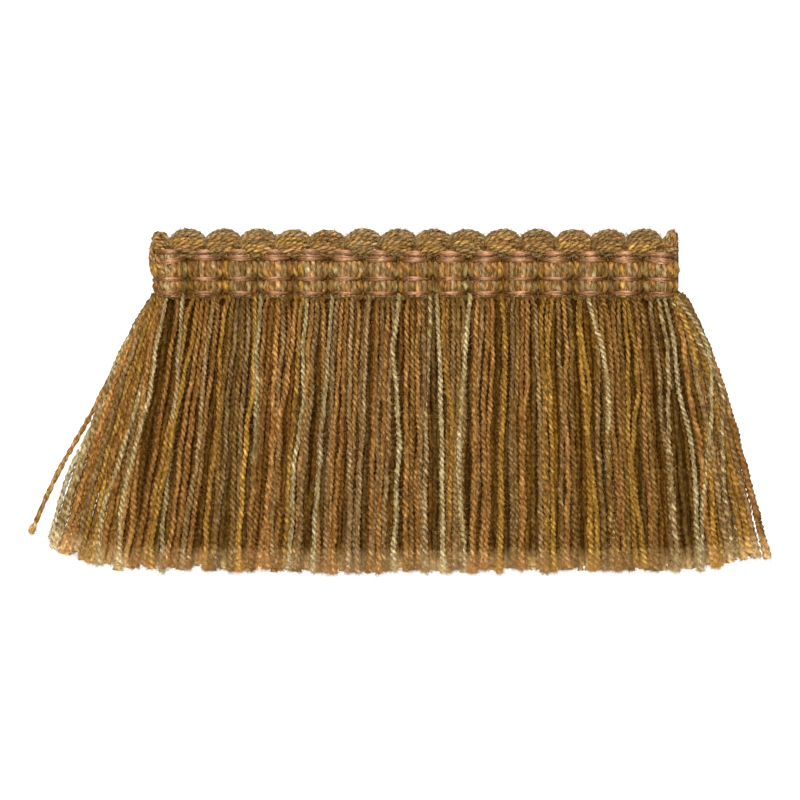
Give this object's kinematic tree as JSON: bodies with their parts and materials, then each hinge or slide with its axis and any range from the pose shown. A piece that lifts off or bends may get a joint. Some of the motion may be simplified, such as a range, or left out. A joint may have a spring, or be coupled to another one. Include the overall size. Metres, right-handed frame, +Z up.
{
  "type": "brush fringe trim",
  "caption": "Cut length of brush fringe trim: a woven heading with a looped top edge, satin warp ribbons and a skirt of cut plied yarns, for sewing to an edge.",
  "frame": {"origin": "centre of the heading's flat back, on the surface that the trim lies on", "axes": "+X along the heading, +Y from the skirt's tips towards the looped edge, +Z up from the surface"},
  "size_m": [0.1594, 0.076, 0.005],
  "materials": {
    "heading_yarn": "spun two-ply yarn, matt and slightly hairy, tan, olive, gold and cream mixed",
    "loop_yarn": "spun two-ply yarn, matt and slightly hairy, tan, olive, gold and taupe mixed",
    "skirt_yarn": "spun two-ply yarn, matt and slightly hairy, tan, olive, gold, taupe and cream mixed",
    "ribbon_satin": "filament yarn laid flat, satin copper sheen"
  },
  "bodies": {
    "root": {"heading": "heading_yarn", "ribbon_top": "ribbon_satin", "ribbon_upper": "ribbon_satin", "ribbon_middle": "ribbon_satin", "ribbon_lower": "ribbon_satin", "loop_01": "loop_yarn", "loop_02": "loop_yarn", "loop_03": "loop_yarn", "loop_04": "loop_yarn", "loop_05": "loop_yarn", "loop_06": "loop_yarn", "loop_07": "loop_yarn", "loop_08": "loop_yarn", "loop_09": "loop_yarn", "loop_10": "loop_yarn", "loop_11": "loop_yarn", "loop_12": "loop_yarn", "loop_13": "loop_yarn", "loop_14": "loop_yarn", "end_loop_left": "loop_yarn", "end_loop_right": "loop_yarn", "skirt": "skirt_yarn"}
  },
  "joints": []
}
